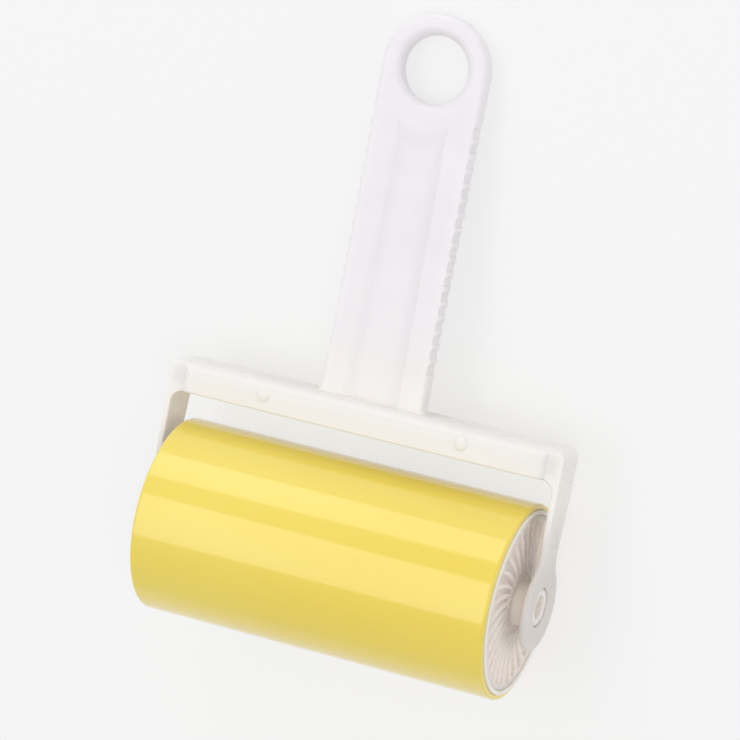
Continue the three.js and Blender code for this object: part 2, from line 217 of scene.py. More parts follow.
# Even light of the room, and its lamps: name, place, what they face, width, height and power
ROOM_LIGHT = 0.597
LAMPS = [
    ("window_behind", (-0.5, 1.3, 0.46), (0.0, -0.04, 0.03), 0.9, 0.8, 4.5),
    ("window_above", (-0.404, 0.116, 1.143), (0.0, -0.06, 0.027), 0.42, 1.0, 2.8),
    ("fill_right", (1.0, 0.1, 0.2), (0.05, -0.04, 0.03), 0.5, 0.5, 0.9),
    ("fill_front", (0.46, 0.08, 1.1), (0.05, -0.04, 0.03), 0.4, 0.4, 1.9),
]


def arc(cx, cy, radius, start, end, steps):
    """Points along an arc, its angles in degrees, both ends included."""
    angles = [math.radians(start + (end - start) * i / steps) for i in range(steps + 1)]
    return [(cx + radius * math.cos(a), cy + radius * math.sin(a)) for a in angles]


def circle(cx, cy, radius, steps):
    """Points round a full circle, the first one not repeated."""
    return arc(cx, cy, radius, 0.0, 360.0, steps)[:-1]


def mirrored(half):
    """A closed outline from its right-hand half, which runs upwards."""
    return half + [(-x, y) for x, y in reversed(half) if x > 1e-6]


def on_side(outline, side):
    """A right-hand outline as it is, or for side -1 as the left-hand one, running the same way round."""
    return outline if side > 0 else [(-x, y) for x, y in reversed(outline)]


def inset(outline, distance):
    """A counter-clockwise closed outline, moved inwards by a distance."""
    points = [Vector(p) for p in outline]
    moved = []
    for i, point in enumerate(points):
        before = (point - points[i - 1]).normalized()
        after = (points[(i + 1) % len(points)] - point).normalized()
        inward = Vector((-before.y - after.y, before.x + after.x)).normalized()
        lean = max(LEAST_LEAN, inward.dot(Vector((-before.y, before.x))))
        moved.append(point + inward * (distance / lean))
    return [tuple(p) for p in moved]


def wall_between(bm, low, high):
    """Faces between two rings of as many points."""
    for i in range(len(low)):
        j = (i + 1) % len(low)
        bm.faces.new((low[i], low[j], high[j], high[i]))


def stacked(outline, levels, place):
    """A closed solid of inset copies of an outline, one over the other, each level an (inset, height)."""
    bm = bmesh.new()
    rings = []
    for shrink, height in levels:
        ring = inset(outline, shrink) if shrink else outline
        rings.append([bm.verts.new(place(a, b, height)) for a, b in ring])
    for low, high in zip(rings, rings[1:]):
        wall_between(bm, low, high)
    bm.faces.new(reversed(rings[0]))
    bm.faces.new(rings[-1])
    bmesh.ops.recalc_face_normals(bm, faces=bm.faces)
    return bm


def rounded(half_depth, radius, steps=4):
    """Levels of a plate whose two faces have rounded edges."""
    quarter = arc(radius, 0.0, radius, 90.0, 180.0, steps)
    under = [(x, radius - y - half_depth) for x, y in quarter]
    over = [(x, -height) for x, height in reversed(under)]
    return under + over


def turned(profile, start=0.0):
    """A surface turned about the drum's axis from (radius, level) pairs, open unless it ends on the axis."""
    steps = TURNED_STEPS
    bm = bmesh.new()
    rings = []
    for radius, level in profile:
        if radius < 1e-6:
            rings.append([bm.verts.new((level, 0.0, 0.0))])
            continue
        ring = []
        for i in range(steps):
            a = math.radians(start) + 2.0 * math.pi * i / steps
            ring.append(bm.verts.new((level, radius * math.sin(a), -radius * math.cos(a))))
        rings.append(ring)
    for first, second in zip(rings, rings[1:]):
        for i in range(steps):
            j = (i + 1) % steps
            corners = [first[i % len(first)], first[j % len(first)]]
            corners += [second[j % len(second)], second[i % len(second)]]
            corners = [c for k, c in enumerate(corners) if c not in corners[:k]]
            bm.faces.new(corners)
    return bm


def turned_ring(profile):
    """A closed ring about the drum's axis, its profile joined from the last point to the first."""
    bm = turned(profile + [profile[0]])
    bmesh.ops.remove_doubles(bm, verts=bm.verts, dist=SEAM_MERGE)
    bmesh.ops.recalc_face_normals(bm, faces=bm.faces)
    return bm


def front_view(a, b, height):
    return Vector((a, b, height))


def side_view(a, b, height):
    return Vector((height, b, a))


def tool(bm, name="tool"):
    """A passing object that carries a mesh while shapes are cut and joined."""
    mesh = bpy.data.meshes.new(name)
    bm.to_mesh(mesh)
    bm.free()
    obj = bpy.data.objects.new(name, mesh)
    bpy.context.scene.collection.objects.link(obj)
    return obj


def cut_and_joined(base, steps):
    """The mesh of a base object after each (operation, object) has been worked on it in turn."""
    for operation, other in steps:
        modifier = base.modifiers.new("work", "BOOLEAN")
        modifier.operation = operation
        modifier.solver = "EXACT"
        modifier.object = other
    bpy.context.view_layer.update()
    shaped = base.evaluated_get(bpy.context.evaluated_depsgraph_get())
    bm = bmesh.new()
    bm.from_mesh(shaped.to_mesh())
    shaped.to_mesh_clear()
    for obj in [base] + [other for _, other in steps]:
        mesh = obj.data
        bpy.data.objects.remove(obj)
        bpy.data.meshes.remove(mesh)
    return bm


def together(*parts):
    """One mesh from several, which are used up."""
    bm = bmesh.new()
    for part in parts:
        mesh = bpy.data.meshes.new("part")
        part.to_mesh(mesh)
        part.free()
        bm.from_mesh(mesh)
        bpy.data.meshes.remove(mesh)
    return bm


def tidy_edges(bm):
    """Merge the crumbs that cutting leaves, and keep the sharper edges crisp."""
    bmesh.ops.remove_doubles(bm, verts=bm.verts, dist=CRUMB)
    bmesh.ops.dissolve_degenerate(bm, dist=CRUMB, edges=bm.edges)
    bmesh.ops.dissolve_limit(bm, angle_limit=math.radians(FLAT_DEGREES), verts=bm.verts, edges=bm.edges)
    for edge in bm.edges:
        edge.smooth = len(edge.link_faces) == 2 and edge.calc_face_angle() < math.radians(CRISP_DEGREES)


def piece(bm, name, node, body, material):
    """A finished piece, lying as the roller lies, that stands for a node of the frame."""
    bm.transform(LYING)
    for face in bm.faces:
        face.smooth = True
    mesh = bpy.data.meshes.new(name)
    bm.to_mesh(mesh)
    bm.free()
    mesh.materials.append(material)
    obj = bpy.data.objects.new(name, mesh)
    bpy.context.scene.collection.objects.link(obj)
    even = obj.modifiers.new("even_shading", "WEIGHTED_NORMAL")
    even.keep_sharp = True
    even.weight = 80
    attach(obj, body)
    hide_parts(node)
    return obj


class Socket:
    """A socket of a material's nodes, so that shader maths reads as plain expressions."""

    def __init__(self, recipe, socket):
        self.recipe = recipe
        self.socket = socket

    def _math(self, operation, first, second):
        return self.recipe.add("ShaderNodeMath", {"operation": operation}, {0: first, 1: second}, 0)

    def __add__(self, other):
        return self._math("ADD", self, other)

    def __sub__(self, other):
        return self._math("SUBTRACT", self, other)

    def __mul__(self, other):
        return self._math("MULTIPLY", self, other)

    __radd__ = __add__
    __rmul__ = __mul__

    def __rsub__(self, other):
        return self._math("SUBTRACT", other, self)


class Recipe:
    """A material and the nodes that make its finish."""

    def __init__(self, name):
        self.material = bpy.data.materials.new(name)
        self.material.use_nodes = True
        self.nodes = self.material.node_tree.nodes
        self.nodes.clear()

    def add(self, kind, settings=None, inputs=None, output=0):
        node = self.nodes.new(kind)
        for key, value in (settings or {}).items():
            setattr(node, key, value)
        for key, value in (inputs or {}).items():
            if isinstance(value, Socket):
                self.material.node_tree.links.new(value.socket, node.inputs[key])
            else:
                node.inputs[key].default_value = value
        return Socket(self, node.outputs[output])

    def place(self):
        return self.add("ShaderNodeTexCoord", output="Object")

    def up_the_table(self):
        """How far a point of the finish lies along the table, towards the handle's tip."""
        return self.add("ShaderNodeSeparateXYZ", {}, {"Vector": self.place()}, 1)

    def from_the_axis(self):
        """How far a point of the finish lies from the drum's axis."""
        flat = self.add("ShaderNodeMapping", {}, {"Vector": self.place(), "Scale": (0.0, 1.0, 1.0)})
        return self.add("ShaderNodeVectorMath", {"operation": "DISTANCE"}, {0: flat, 1: LYING.translation}, 1)

    def noise(self, scale, detail=3.0, stretch=None, rough=0.5):
        where = self.place()
        if stretch:
            where = self.add("ShaderNodeMapping", {}, {"Vector": where, "Scale": stretch})
        inputs = {"Vector": where, "Scale": scale, "Detail": detail, "Roughness": rough}
        return self.add("ShaderNodeTexNoise", {}, inputs)

    def mix(self, share, first, second):
        return self.add("ShaderNodeMix", {"data_type": "RGBA"}, {0: share, 6: first, 7: second}, 2)

    def levels(self, value, low, high, to_low, to_high):
        return self.add(
            "ShaderNodeMapRange", {"clamp": True},
            {"Value": value, "From Min": low, "From Max": high, "To Min": to_low, "To Max": to_high},
        )

    def bump(self, height, distance, strength=1.0):
        return self.add("ShaderNodeBump", {}, {"Height": height, "Distance": distance, "Strength": strength})

    def finish(self, values):
        self.add_output(self.add("ShaderNodeBsdfPrincipled", {}, values))
        return self.material

    def add_output(self, shader):
        output = self.nodes.new("ShaderNodeOutputMaterial")
        self.material.node_tree.links.new(shader.socket, output.inputs["Surface"])


def tone(red, green, blue):
    """A colour given as it is seen, in 0 to 255, turned to the shader's linear values."""
    linear = [((c / 255.0 + 0.055) / 1.055) ** 2.4 for c in (red, green, blue)]
    return (*linear, 1.0)


def moulded_white(name, shade, deep, roughness, glow_through, scale, colours, painted_bounce_and_grey_down_the_frame=(), painted_light_round_the_hub=()):
    """White moulding: faint flow clouds in its tone, orange-peel ripple and a soft sheen.

    Each (low, high, tone) band down the frame passes over to its tone from high down to low; these paint a warm
    bounce light from the yellow drum near the crossbar and a darker grey on the ears. Each (near, far, tone) band
    round the hub does so from far to near the drum's axis, a paler tone that paints light into the shade on the
    hub.
    """
    recipe = Recipe(name)
    clouds = recipe.noise(scale=38.0, detail=4.0, rough=0.55)
    flow = recipe.noise(scale=160.0, detail=3.0, stretch=(0.35, 1.0, 1.0))
    depth = recipe.levels(clouds * 0.7 + flow * 0.3, 0.35, 0.68, 0.0, 1.0)
    colour = recipe.mix(depth, shade, deep)
    # Bands down the frame: a warmer tint near the crossbar is painted bounce light from the yellow drum; the
    # darker grey band lies on the ears
    for low, high, other in painted_bounce_and_grey_down_the_frame:
        colour = recipe.mix(recipe.levels(recipe.up_the_table(), low, high, 1.0, 0.0), colour, other)
    # Round the hub: a paler tone painted in as light, which lightens the shade that the ear casts on the hub
    for near, far, other in painted_light_round_the_hub:
        colour = recipe.mix(recipe.levels(recipe.from_the_axis(), near, far, 1.0, 0.0), colour, other)
    gloss = recipe.levels(flow, 0.3, 0.7, roughness - 0.04, roughness + 0.05)
    ripple = recipe.noise(scale=420.0, detail=2.0)
    normal = recipe.bump(ripple, distance=0.00003, strength=0.6)
    return recipe.finish({
        "Base Color": colour, "Roughness": gloss, "Normal": normal, "IOR": 1.49,
        "Subsurface Weight": glow_through, "Subsurface Scale": scale, "Subsurface Radius": colours,
    })


def sticky_gel():
    """Yellow gel: a wet-looking clear coat with slow waves over a body whose tone drifts a little."""
    recipe = Recipe("sticky_gel_yellow")
    drift = recipe.noise(scale=26.0, detail=3.0, stretch=(0.4, 1.0, 1.0))
    colour = recipe.mix(recipe.levels(drift, 0.35, 0.65, 0.0, 1.0), tone(244, 222, 99), tone(242, 216, 87))
    waves = recipe.noise(scale=60.0, detail=1.0, stretch=(0.3, 1.0, 1.0))
    normal = recipe.bump(waves, distance=0.0001, strength=0.4)
    gloss = recipe.levels(drift, 0.3, 0.7, 0.36, 0.42)
    return recipe.finish({
        "Base Color": colour, "Roughness": gloss, "Normal": normal, "Specular IOR Level": 0.2,
        "Coat Weight": 1.0, "Coat Roughness": 0.1, "Coat IOR": 1.5,
    })


def gel_sleeve(material):
    """The gel over the tube, with a rounded lip at each end."""
    inner = CORE_RADIUS + SEAM
    end = arc(DRUM_RADIUS - GEL_LIP, GEL_END - GEL_LIP, GEL_LIP, 0.0, 90.0, 6)
    end += arc(inner + GEL_BEAD, GEL_END - GEL_BEAD, GEL_BEAD, 90.0, 180.0, 3)
    profile = [(DRUM_RADIUS, place) for place in GEL_RING_PLACES] + end
    profile += [(r, -x) for r, x in reversed(end)]
    return piece(turned_ring(profile), "gel_layer", "gel_sleeve", "drum", material)


def drum_tube(material):
    """The tube that carries the gel, whose bare ends show as the drum's fine rim."""
    inner = CORE_RADIUS - CORE_WALL
    end = arc(CORE_RADIUS - TUBE_OUTER_EDGE, CORE_END - TUBE_OUTER_EDGE, TUBE_OUTER_EDGE, 0.0, 90.0, 4)
    end += arc(inner + TUBE_INNER_EDGE, CORE_END - TUBE_INNER_EDGE, TUBE_INNER_EDGE, 90.0, 180.0, 3)
    profile = [(CORE_RADIUS, 0.0)] + end + [(inner, 0.0)] + [(r, -x) for r, x in reversed(end)]
    return piece(turned_ring(profile), "drum_tube", "roller_core", "drum", material)


def petal_sector(index):
    """One sector of a cap's face: the land between two vanes' middles with its swept petal pocket."""
    pitch = 360.0 / POCKETS
    steps = POCKET_STEPS
    turn = math.radians(index * pitch)

    def sweep(radius):
        return SWEEP_DEGREES * (radius - HUB_EDGE) / (RIM_START - HUB_EDGE)

    def half_width(radius):
        return math.pi * radius / POCKETS - VANE / 2.0

    def local(radius, sideways):
        a = math.radians(sweep(radius)) + sideways / radius
        return (radius * math.cos(a), radius * math.sin(a))

    def round_end(radius, degrees_from, degrees_to):
        heading = sweep(radius)
        cx, cy = local(radius, 0.0)
        return arc(cx, cy, half_width(radius), heading + degrees_from, heading + degrees_to, steps)

    def flank(start, end, side):
        radii = [start + (end - start) * i / steps for i in range(1, steps)]
        return [local(radius, side * half_width(radius)) for radius in radii]

    # The pocket's outline: small round start, flank, round petal end, flank
    petal_middle = PETAL_END - half_width(PETAL_END)
    pocket = list(reversed(round_end(POCKET_START, 270.0, 90.0))) + flank(POCKET_START, petal_middle, -1.0)
    pocket += round_end(petal_middle, -90.0, 90.0) + flank(petal_middle, POCKET_START, 1.0)

    # The sector's own border, point for point round the pocket
    border = [(HUB_EDGE, pitch / 2.0 - pitch * i / steps) for i in range(steps + 1)]
    for i in range(1, steps):
        radius = HUB_EDGE + (RIM_START - HUB_EDGE) * i / steps
        border.append((radius, sweep(radius) - pitch / 2.0))
    border += [(RIM_START, SWEEP_DEGREES - pitch / 2.0 + pitch * i / steps) for i in range(steps + 1)]
    for i in range(1, steps):
        radius = RIM_START + (HUB_EDGE - RIM_START) * i / steps
        border.append((radius, sweep(radius) + pitch / 2.0))

    bm = bmesh.new()

    def border_point(radius, degrees):
        a = math.radians(degrees + index * pitch)
        return bm.verts.new((CAP_FACE, radius * math.sin(a), -radius * math.cos(a)))

    def pocket_ring(shrink, level):
        made = []
        for a, b in inset(pocket, shrink):
            u = a * math.cos(turn) - b * math.sin(turn)
            v = a * math.sin(turn) + b * math.cos(turn)
            made.append(bm.verts.new((level, v, -u)))
        return made

    rings = [[border_point(radius, degrees) for radius, degrees in border]]
    rings += [pocket_ring(shrink, CAP_FACE - drop) for shrink, drop in POCKET_WALL]
    for outer, inner in zip(rings, rings[1:]):
        wall_between(bm, outer, inner)
    bm.faces.new(rings[-1])
    return bm


def cap(name, node, material, turned_round):
    """An end cap: swept petal pockets round a hub, a shallow well, and the hollow stub axle out of it."""
    sectors = [petal_sector(i) for i in range(POCKETS)]
    well_lip, well_foot = WELL_RADIUS + WELL_EDGE, WELL_RADIUS - WELL_FILLET
    shoulder_foot, shoulder_lip = SHOULDER_RADIUS + SHOULDER_FILLET, SHOULDER_RADIUS - SHOULDER_EDGE
    stub_lip, bore_lip, bore_foot = STUB_RADIUS - STUB_EDGE, STUB_BORE + BORE_EDGE, STUB_BORE - BORE_FILLET
    hub = [
        (HUB_EDGE, CAP_FACE), (HUB_EDGE - HUB_BEAD_WIDTH, CAP_FACE + HUB_BEAD),
        (well_lip, CAP_FACE), *arc(well_lip, CAP_FACE - WELL_EDGE, WELL_EDGE, 90.0, 180.0, 3)[1:],
        *arc(well_foot, WELL_FLOOR + WELL_FILLET, WELL_FILLET, 0.0, -90.0, 3),
        *arc(shoulder_foot, WELL_FLOOR + SHOULDER_FILLET, SHOULDER_FILLET, -90.0, -180.0, 5),
        (SHOULDER_RADIUS, SHOULDER - SHOULDER_EDGE),
        *arc(shoulder_lip, SHOULDER - SHOULDER_EDGE, SHOULDER_EDGE, 0.0, 90.0, 3)[1:],
        (STUB_RADIUS + STUB_FOOT, SHOULDER), (STUB_RADIUS, SHOULDER + STUB_FOOT),
        (STUB_RADIUS, STUB_END - STUB_EDGE), *arc(stub_lip, STUB_END - STUB_EDGE, STUB_EDGE, 0.0, 90.0, 5)[1:],
        *arc(bore_lip, STUB_END - BORE_EDGE, BORE_EDGE, 90.0, 180.0, 4),
        (STUB_BORE, BORE_FLOOR + BORE_FILLET_RISE),
        *arc(bore_foot, BORE_FLOOR + BORE_FILLET_RISE, BORE_FILLET, 0.0, -90.0, 4)[1:],
        (0.0, BORE_FLOOR + BORE_CROWN),
    ]
    rim = [
        (RIM_START, CAP_FACE), (CAP_RADIUS - CAP_EDGE, CAP_FACE),
        *arc(CAP_RADIUS - CAP_EDGE, CAP_FACE - CAP_EDGE, CAP_EDGE, 90.0, 0.0, 3)[1:],
        (CAP_RADIUS, SKIRT_END + SKIRT_CHAMFER), (CAP_RADIUS - SKIRT_CHAMFER, SKIRT_END),
        (SKIRT_RADIUS, SKIRT_END), (SKIRT_RADIUS, CAP_BACK), (HUB_BACK_RADIUS, CAP_BACK),
        (HUB_BACK_RADIUS, BORE_FLOOR - BORE_WALL), (0.0, BORE_FLOOR - BORE_WALL),
    ]
    start = -180.0 / POCKETS
    bm = together(*sectors, turned(hub, start), turned(rim, start))
    bmesh.ops.remove_doubles(bm, verts=bm.verts, dist=SECTOR_MERGE)
    bmesh.ops.recalc_face_normals(bm, faces=bm.faces)
    if turned_round:
        bm.transform(Matrix.Rotation(math.pi, 4, "Y"))
    return piece(bm, name, node, "drum", material)


def side_outline():
    """Arm and ear seen from the side, across the depth and up the handle."""
    reach = EAR_RADIUS + NECK_FILLET
    across = ARM_NECK + NECK_FILLET
    turn = math.degrees(math.acos(across / reach))
    up = reach * math.sin(math.radians(turn))

    def half(corner):
        return (
            arc(0.0, 0.0, EAR_RADIUS, -90.0, turn, 40)
            + arc(across, up, NECK_FILLET, 180.0 + turn, 180.0, 12)[1:]
            + [(BAR_HALF_DEPTH, ARM_TAPER_TOP)]
            + arc(BAR_HALF_DEPTH - corner, BAR_TOP - corner, corner, 0.0, 90.0, 10)
        )

    back = [(-a, b) for a, b in half(BAR_BACK_ROUND)]
    return half(BAR_SWELL) + list(reversed(back[1:]))


def front_outline():
    """Arms and the strip that joins them seen from the front, open below."""
    proud = 0.15
    low = -EAR_RADIUS - OVERRUN
    middle_x, middle_y = ARM_OUTER + proud - FRAME_CORNER, BAR_TOP + proud - FRAME_CORNER
    right = (
        arc(ARM_INNER - OPENING_CORNER, BAR_LOW - OPENING_CORNER, OPENING_CORNER, 90.0, 0.0, 12)
        + [(ARM_INNER, low), (ARM_OUTER + OVERRUN, low), (ARM_OUTER + OVERRUN, middle_y)]
        + arc(middle_x, middle_y, FRAME_CORNER, 0.0, 90.0, 14)
        + [(middle_x, BAR_TOP + OVERRUN)]
    )
    return mirrored(right)


def arm_front_cutter(side):
    """What sets an arm's front back from the crossbar's, whose front ends in a full round."""
    centre_x, centre_z = BAR_END - BAR_SWELL, BAR_HALF_DEPTH - BAR_SWELL
    entry, entry_degrees = 0.3, 86.0
    drop = math.degrees(math.asin((ARM_HEAD - centre_z) / BAR_SWELL))
    outline = [(centre_x + entry, BAR_HALF_DEPTH + OVERRUN)]
    outline += arc(centre_x, centre_z, BAR_SWELL, entry_degrees, drop, 10)
    outline += [(ARM_OUTER + OVERRUN, ARM_HEAD), (ARM_OUTER + OVERRUN, BAR_HALF_DEPTH + OVERRUN)]

    def from_above(a, b, height):
        return Vector((side * a, height, b))

    return tool(stacked(outline, [(0.0, ARM_HEAD_FROM), (0.0, BAR_TOP + OVERRUN)], from_above))


def foot_fillet():
    """The hollow that leads from the channel's floor over to the crossbar's top."""
    buried, radius = 1.0, FOOT_FILLET
    floor = HANDLE_HALF_THICKNESS - CHANNEL_DEPTH - FOOT_FILLET_SUNK
    top = BAR_TOP - FOOT_FILLET_SUNK
    section = [(0.0, top - buried), (floor + radius, top - buried)]
    section += arc(floor + radius, top + radius, radius, 270.0, 180.0, 8)
    section += [(0.0, top + radius)]
    half = HANDLE_HALF_WIDTH - buried
    return tool(stacked(section, [(0.0, -half), (0.0, half)], side_view))


def handle_outline():
    """The paddle seen from the front, flared at its foot and buried in the crossbar there."""
    half, flare = HANDLE_HALF_WIDTH, HANDLE_FOOT_FLARE
    right = (
        [(half + flare, BAR_LOW + OVERRUN)]
        + arc(half + flare, BAR_TOP + flare - HANDLE_SUNK, flare, 270.0, 180.0, 8)
        + arc(0.0, HOLE_CENTRE, half, 0.0, 90.0, 40)
    )
    return mirrored(right)


def grip_cutter(side):
    """The sunk grip band along an edge, which leaves its rounded ribs standing."""
    crest = HANDLE_HALF_WIDTH
    floor = crest - GRIP_DEPTH
    clear, corner = 3.0, floor + GRIP_CORNER
    points = [(crest + clear, GRIP_LOW - clear), (crest + clear, GRIP_HIGH + clear), (crest, GRIP_HIGH)]
    points += arc(corner, GRIP_HIGH - GRIP_CORNER_RISE, GRIP_CORNER, 130.0, 180.0, 4)
    for i in reversed(range(RIBS)):
        middle = FIRST_RIB + RIB_PITCH * i
        for k in range(RIB_POINTS + 1):
            t = 1.0 - 2.0 * k / RIB_POINTS
            points.append((floor + RIB_HEIGHT * (1.0 - t * t) ** RIB_FULLNESS, middle + RIB_HALF_WIDTH * t))
    points += arc(corner, GRIP_LOW + GRIP_CORNER_RISE, GRIP_CORNER, 180.0, 230.0, 4) + [(crest, GRIP_LOW)]
    reach = HANDLE_HALF_THICKNESS + OVERRUN
    return tool(stacked(on_side(points, side), [(0.0, -reach), (0.0, reach)], front_view))


def channel_cutter(side):
    """The long dished channel in a face, which ends softly round the hanging hole's ring."""
    face = HANDLE_HALF_THICKNESS
    foot, head = CHANNEL_START, HOLE_CENTRE
    points, fade_steps = 14, 12
    above, ring_above = 2.0, 2.5
    skirt_out, skirt_down = 0.8, 0.4
    past_floor, past_face = 0.08, 0.03

    def along(share, drop, height):
        half = CHANNEL_FOOT + (CHANNEL_HEAD - CHANNEL_FOOT) * (height - foot) / (head - foot)
        return Vector((share * half, height, side * (face - drop)))

    shares = [k / points for k in range(-points, points + 1)]
    dish = [(s, CHANNEL_DEPTH * (1.0 - s ** 4)) for s in shares]
    section = [(-1.0, -above), (-1.0, 0.0)] + dish[1:-1] + [(1.0, 0.0), (1.0, -above)]
    trough = tool(stacked(section, [(0.0, foot), (0.0, head)], along))

    # What keeps the ring: a wide skirt below the floor, then a cosine slope up to just over the face
    ring = circle(0.0, HOLE_CENTRE, HOLE_RADIUS + CHANNEL_RING, 120)
    flank = [(-CHANNEL_FADE - skirt_out, CHANNEL_DEPTH + skirt_down)]
    for k in range(fade_steps + 1):
        share = 0.5 + 0.5 * math.cos(math.pi * k / fade_steps)
        out = CHANNEL_FADE * (1.0 - k / fade_steps)
        flank.append((-out, (CHANNEL_DEPTH + past_floor) * share - past_face))
    flank.append((0.0, -ring_above))
    keep = stacked(ring, [(grow, side * (face - drop)) for grow, drop in flank], front_view)
    return tool(cut_and_joined(trough, [("DIFFERENCE", tool(keep))]))


def hanging_hole_cutter():
    """The hanging hole, flared round at both faces so that its ring looks domed."""
    half, past = HANDLE_HALF_THICKNESS, 0.6
    quarter = arc(HOLE_FLARE, 0.0, HOLE_FLARE, 180.0, 90.0, 8)
    over = [(-x, half - HOLE_FLARE + y) for x, y in quarter] + [(-HOLE_FLARE - past, half + past)]
    under = [(grow, -height) for grow, height in reversed(over)]
    return tool(stacked(circle(0.0, HOLE_CENTRE, HOLE_RADIUS, 96), under + over, front_view))


def eye_cutter(side):
    """The eye in an ear, its edges slightly eased."""
    inside, outside, spread = EYE_EASE_INSIDE, EYE_EASE_OUTSIDE, 1.0
    levels = [
        (-spread, ARM_INNER + inside - spread), (0.0, ARM_INNER + inside),
        (0.0, ARM_OUTER - outside), (-spread, ARM_OUTER - outside + spread),
    ]
    eye = circle(0.0, 0.0, EYE_RADIUS, 72)
    return tool(stacked(eye, [(shrink, side * height) for shrink, height in levels], side_view))


def lead_in_cutter(side):
    """The ramp below the eye on an ear's inner face, which spreads the arms over the stub axle."""
    deep, clear, low = ARM_INNER + RAMP_DEPTH, ARM_INNER - OVERRUN, -EAR_RADIUS - OVERRUN
    ramp = [(clear, low), (deep, low), (deep, -EAR_RADIUS), (ARM_INNER, -EYE_RADIUS), (clear, -EYE_RADIUS)]
    return tool(stacked(on_side(ramp, side), [(0.0, -STUB_RADIUS), (0.0, STUB_RADIUS)], front_view))


def arm_panel_cutter(side):
    """The shallow panel between the rims of an arm's outer face."""
    low, high, corner, bulge = PANEL_LOW, BAR_LOW, PANEL_CORNER, PANEL_CORNER_BULGE
    foot, head = ARM_NECK - PANEL_RIM, BAR_HALF_DEPTH - PANEL_RIM
    right = [
        (foot - corner, low), (foot - bulge, low + bulge), (foot, low + corner),
        (head, high - corner), (head - bulge, high - bulge), (head - corner, high),
    ]
    past = 1.5
    levels = [(PANEL_DEPTH, ARM_OUTER - PANEL_DEPTH), (0.0, ARM_OUTER), (-past, ARM_OUTER + past)]
    return tool(stacked(mirrored(right), [(shrink, side * height) for shrink, height in levels], side_view))


def bar_cell_cutters():
    """The open cells that core out the crossbar from behind, with a rib between each two."""
    pitch = (2.0 * ARM_INNER + CELL_RIB) / CELLS
    half, corner = (pitch - CELL_RIB) / 2.0, CELL_CORNER
    low, high, floor = BAR_LOW + CELL_WALL, BAR_TOP - CELL_WALL, BAR_HALF_DEPTH - CELL_WALL
    round_start, round_middle = 0.4, 0.12
    levels = [
        (-CELL_DRAFT, -BAR_HALF_DEPTH - OVERRUN), (0.0, floor - round_start),
        (round_middle, floor - round_middle), (round_start, floor),
    ]
    cells = []
    for i in range(CELLS):
        middle = (i - (CELLS - 1) / 2.0) * pitch
        left, right = middle - half, middle + half
        outline = (
            arc(right - corner, low + corner, corner, -90.0, 0.0, 4)
            + arc(right - corner, high - corner, corner, 0.0, 90.0, 4)
            + arc(left + corner, high - corner, corner, 90.0, 180.0, 4)
            + arc(left + corner, low + corner, corner, 180.0, 270.0, 4)
        )
        cells.append(stacked(outline, levels, front_view))
    return tool(together(*cells))


def cover_catches():
    """Two low domes on the crossbar's front, which hold the drum's cover."""
    foot = BAR_HALF_DEPTH - CATCH_SUNK
    levels = [
        (CATCH_RADIUS * (1.0 - across), foot + (CATCH_HEIGHT + CATCH_SUNK) * up)
        for across, up in arc(0.0, 0.0, 1.0, -50.0, 86.0, 14)
    ]
    domes = [stacked(circle(x, y, CATCH_RADIUS, 40), levels, front_view) for x, y in CATCH_PLACES]
    return tool(together(*domes))


def ease_opening(bm):
    """Round the edges of the opening that the drum turns in, in front and behind."""
    middle_x, middle_y = ARM_INNER - OPENING_CORNER, BAR_LOW - OPENING_CORNER

    def on_wall(vert):
        x, y = abs(vert.co.x), vert.co.y
        if x <= middle_x:
            return abs(y - BAR_LOW) < 2e-3
        if y <= middle_y:
            return abs(x - ARM_INNER) < 2e-3
        return abs(math.hypot(x - middle_x, y - middle_y) - OPENING_CORNER) < 2e-2

    def sharp(edge):
        return len(edge.link_faces) == 2 and edge.calc_face_angle() > math.radians(OPENING_SHARP_DEGREES)

    rim = [edge for edge in bm.edges if sharp(edge) and all(map(on_wall, edge.verts))]
    bmesh.ops.bevel(
        bm, geom=rim, offset=OPENING_EASE, offset_type="OFFSET", segments=3, profile=0.5,
        affect="EDGES", clamp_overlap=False,
    )


def handle_moulding(material):
    """Handle, crossbar and arms, moulded in one."""
    sides_of = (-1.0, 1.0)
    sides = tool(stacked(side_outline(), rounded(ARM_OUTER, ARM_EDGE), side_view))
    reach = EAR_RADIUS + 2.0 * OVERRUN
    front = tool(stacked(front_outline(), [(0.0, -reach), (0.0, reach)], front_view))
    blank = cut_and_joined(sides, [("INTERSECT", front)] + [("DIFFERENCE", arm_front_cutter(s)) for s in sides_of])
    tidy_edges(blank)
    ease_opening(blank)
    cutters = (eye_cutter, lead_in_cutter, arm_panel_cutter)
    arm_steps = [("DIFFERENCE", cutter(side)) for side in sides_of for cutter in cutters]
    arms_and_bar = tool(cut_and_joined(tool(blank), arm_steps))
    handle = tool(stacked(handle_outline(), rounded(HANDLE_HALF_THICKNESS, HANDLE_EDGE, 6), front_view))
    steps = [("DIFFERENCE", cutter(side)) for cutter in (channel_cutter, grip_cutter) for side in sides_of]
    steps += [("DIFFERENCE", hanging_hole_cutter()), ("UNION", arms_and_bar), ("UNION", foot_fillet())]
    steps += [("UNION", cover_catches()), ("DIFFERENCE", bar_cell_cutters())]
    bm = cut_and_joined(handle, steps)
    tidy_edges(bm)
    return piece(bm, "handle_moulding", "handle_frame", "frame", material)


